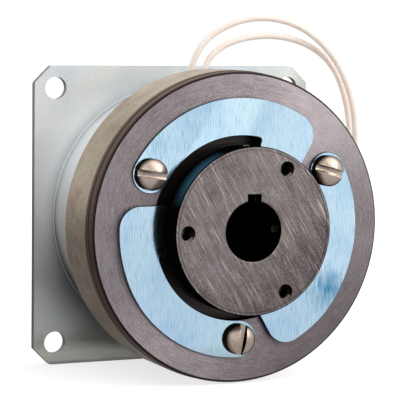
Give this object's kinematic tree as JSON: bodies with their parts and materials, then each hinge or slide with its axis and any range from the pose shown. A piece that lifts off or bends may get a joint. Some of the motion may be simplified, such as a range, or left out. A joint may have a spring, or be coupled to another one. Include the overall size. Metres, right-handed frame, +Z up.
{
  "type": "electromagnetic brake",
  "caption": "Flange-mounted electromagnetic power-on brake: ring magnet on a drawn square flange, keyed hub, and an armature disc carried on leaf springs, with two free leads.",
  "frame": {"origin": "centre of the bolt pattern on the mounting flange's rear face, on the shaft axis", "axes": "+Y out of the mounting face along the shaft axis, +Z up towards the leads' exit, hub looking towards -Y"},
  "size_m": [0.1102, 0.1333, 0.1175],
  "materials": {
    "zinc_sheet": "zinc-plated, satin",
    "dichromate_steel": "yellow-olive conversion coat, satin",
    "pole_steel": "ground",
    "bobbin_plastic": "moulded",
    "winding_copper": "enamelled copper wire",
    "potting_resin": "cast resin",
    "lining": "pressed friction material",
    "rivet_steel": "zinc-plated",
    "grommet_rubber": "matt",
    "lead_insulation": "smooth extruded insulation",
    "tinned_strand": "tinned copper strand",
    "hub_steel": "turned, dark rim",
    "black_steel": "black oxide",
    "spring_steel": "bright blue-tempered strip",
    "armature_steel": "ground face, dark rim",
    "nickel_screw": "nickel-plated"
  },
  "bodies": {
    "field": {"mounting_flange": "zinc_sheet", "magnet_shell": "dichromate_steel", "inner_pole": "pole_steel", "coil_bobbin": "bobbin_plastic", "coil_winding": "winding_copper", "coil_potting": "potting_resin", "friction_lining": "lining", "flange_rivet_1": "rivet_steel", "flange_rivet_2": "rivet_steel", "flange_rivet_3": "rivet_steel", "flange_rivet_4": "rivet_steel", "lead_grommet": "grommet_rubber", "coil_leads": "lead_insulation", "lead_wire_1": "lead_insulation", "lead_wire_2": "lead_insulation", "lead_tip_1": "tinned_strand", "lead_tip_2": "tinned_strand"},
    "rotor": {"hub": "hub_steel", "set_screw_1": "black_steel", "set_screw_2": "black_steel", "leaf_spring_1": "spring_steel", "leaf_spring_2": "spring_steel", "leaf_spring_3": "spring_steel", "spring_rivet_1": "rivet_steel", "spring_rivet_2": "rivet_steel", "spring_rivet_3": "rivet_steel"},
    "armature": {"armature_disc": "armature_steel", "armature_screw_1": "nickel_screw", "armature_screw_2": "nickel_screw", "armature_screw_3": "nickel_screw"}
  },
  "joints": [
    {"name": "rotor_spin", "type": "hinge", "parent": "field", "child": "rotor", "pos_m": [0, 0, 0], "axis": [0, -1, 0], "continuous": true},
    {"name": "armature_travel", "type": "slide", "parent": "rotor", "child": "armature", "axis": [0, 1, 0], "range_m": [0, 0.0004], "stiffness_N_per_m": 20000, "deforming": ["leaf_spring_1", "leaf_spring_2", "leaf_spring_3"]}
  ]
}
